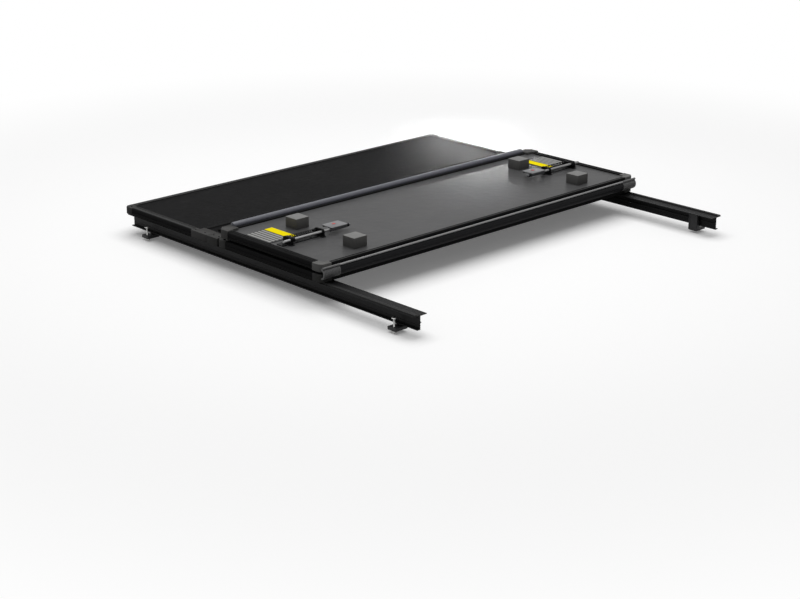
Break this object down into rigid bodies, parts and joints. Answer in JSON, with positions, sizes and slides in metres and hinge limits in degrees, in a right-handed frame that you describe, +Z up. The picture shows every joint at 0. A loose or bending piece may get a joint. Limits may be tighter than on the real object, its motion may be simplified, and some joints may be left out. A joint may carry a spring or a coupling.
{
  "type": "folding tonneau cover",
  "caption": "Hard folding cover for a pickup bed, rear panel folded forward on the middle one, with double hinge, spring latches, seals, side rails and rail clamps.",
  "frame": {"origin": "centre of the overall box's bottom, level with the heads of the clamp bolts", "axes": "+X to the vehicle's right, +Y forward to the cab, +Z up"},
  "size_m": [1.62, 1.5814, 0.184],
  "materials": {
    "skin": "fine pebbled black skin",
    "underside": "semi-gloss dark grey sheet",
    "frame": "black powder coat",
    "cap": "charcoal moulded plastic",
    "rubber": "smooth dark rubber",
    "block": "matt cellular rubber",
    "rail": "black anodised",
    "steel": "zinc plated",
    "rod": "ground rod",
    "handle": "light grey moulding",
    "plate": "ribbed grey plate",
    "black": "black moulding"
  },
  "bodies": {
    "root": {"bulkhead_corner_cap_left": "cap", "bulkhead_corner_cap_right": "cap", "bulkhead_seal": "rubber", "clamp_front_left": "cap", "clamp_front_right": "cap", "clamp_rear_left": "cap", "clamp_rear_right": "cap", "front_hinge_cap_left": "cap", "front_hinge_cap_right": "cap", "front_hinge_pin": "steel", "front_panel_bulkhead_frame": "frame", "front_panel_hinge_frame": "frame", "front_panel_sheet": "skin", "front_panel_side_frame_left": "frame", "front_panel_side_frame_right": "frame", "rail_seal_left": "rubber", "rail_seal_right": "rubber", "side_rail_left": "rail", "side_rail_right": "rail"},
    "link": {"hinge_link": "frame"},
    "middle": {"middle_front_cap_left": "cap", "middle_front_cap_right": "cap", "middle_hinge_pin": "steel", "middle_panel_front_frame": "frame", "middle_panel_rear_frame": "frame", "middle_panel_sheet": "skin", "middle_panel_side_frame_left": "frame", "middle_panel_side_frame_right": "frame", "middle_rear_cap_left": "cap", "middle_rear_cap_right": "cap", "rear_hinge_pin": "steel", "rear_hinge_seal": "rubber"},
    "rear": {"bumper_block_front_left": "block", "bumper_block_front_right": "block", "bumper_block_rear_left": "block", "bumper_block_rear_right": "block", "latch_base_left": "black", "latch_base_right": "black", "latch_pad_left": "plate", "latch_pad_right": "plate", "latch_spring_left": "steel", "latch_spring_right": "steel", "rear_hinge_cap_left": "cap", "rear_hinge_cap_right": "cap", "rear_panel_hinge_frame": "frame", "rear_panel_sheet": "underside", "rear_panel_side_frame_left": "frame", "rear_panel_side_frame_right": "frame", "rear_panel_tailgate_frame": "frame", "tailgate_bulb_seal": "rubber", "tailgate_cap_left": "cap", "tailgate_cap_right": "cap"},
    "latch_left": {"latch_bolt_left": "rod", "latch_handle_left": "handle"},
    "latch_right": {"latch_bolt_right": "rod", "latch_handle_right": "handle"},
    "clamp_bolt_front_left": {"clamp_bolt_front_left": "steel"},
    "clamp_bolt_rear_left": {"clamp_bolt_rear_left": "steel"},
    "clamp_bolt_front_right": {"clamp_bolt_front_right": "steel"},
    "clamp_bolt_rear_right": {"clamp_bolt_rear_right": "steel"}
  },
  "joints": [
    {"name": "middle_hinge", "type": "hinge", "parent": "link", "child": "middle", "pos_m": [0, 0.21135, 0.1174], "axis": [-1, 0, 0], "range_deg": [0, 90]},
    {"name": "front_hinge", "type": "hinge", "parent": "root", "child": "link", "pos_m": [0, 0.27385, 0.1174], "axis": [-1, 0, 0], "range_deg": [0, 90]},
    {"name": "rear_hinge", "type": "hinge", "parent": "middle", "child": "rear", "pos_m": [0, -0.35565, 0.1174], "axis": [1, 0, 0], "range_deg": [0, 180], "deforming": ["rear_hinge_seal"]},
    {"name": "latch_slide_left", "type": "slide", "parent": "rear", "child": "latch_left", "axis": [1, 0, 0], "range_m": [0, 0.028], "stiffness_N_per_m": 300, "springref_m": -0.012, "deforming": ["latch_spring_left"]},
    {"name": "clamp_screw_front_left", "type": "slide", "parent": "root", "child": "clamp_bolt_front_left", "axis": [0, 0, 1], "range_m": [-0.015, 0]},
    {"name": "clamp_screw_rear_left", "type": "slide", "parent": "root", "child": "clamp_bolt_rear_left", "axis": [0, 0, 1], "range_m": [-0.015, 0]},
    {"name": "latch_slide_right", "type": "slide", "parent": "rear", "child": "latch_right", "axis": [-1, 0, 0], "range_m": [0, 0.028], "stiffness_N_per_m": 300, "springref_m": -0.012, "deforming": ["latch_spring_right"]},
    {"name": "clamp_screw_front_right", "type": "slide", "parent": "root", "child": "clamp_bolt_front_right", "axis": [0, 0, 1], "range_m": [-0.015, 0]},
    {"name": "clamp_screw_rear_right", "type": "slide", "parent": "root", "child": "clamp_bolt_rear_right", "axis": [0, 0, 1], "range_m": [-0.015, 0]}
  ],
  "couplings": [
    {"joint": "front_hinge", "follows": "middle_hinge", "ratio": 1}
  ]
}
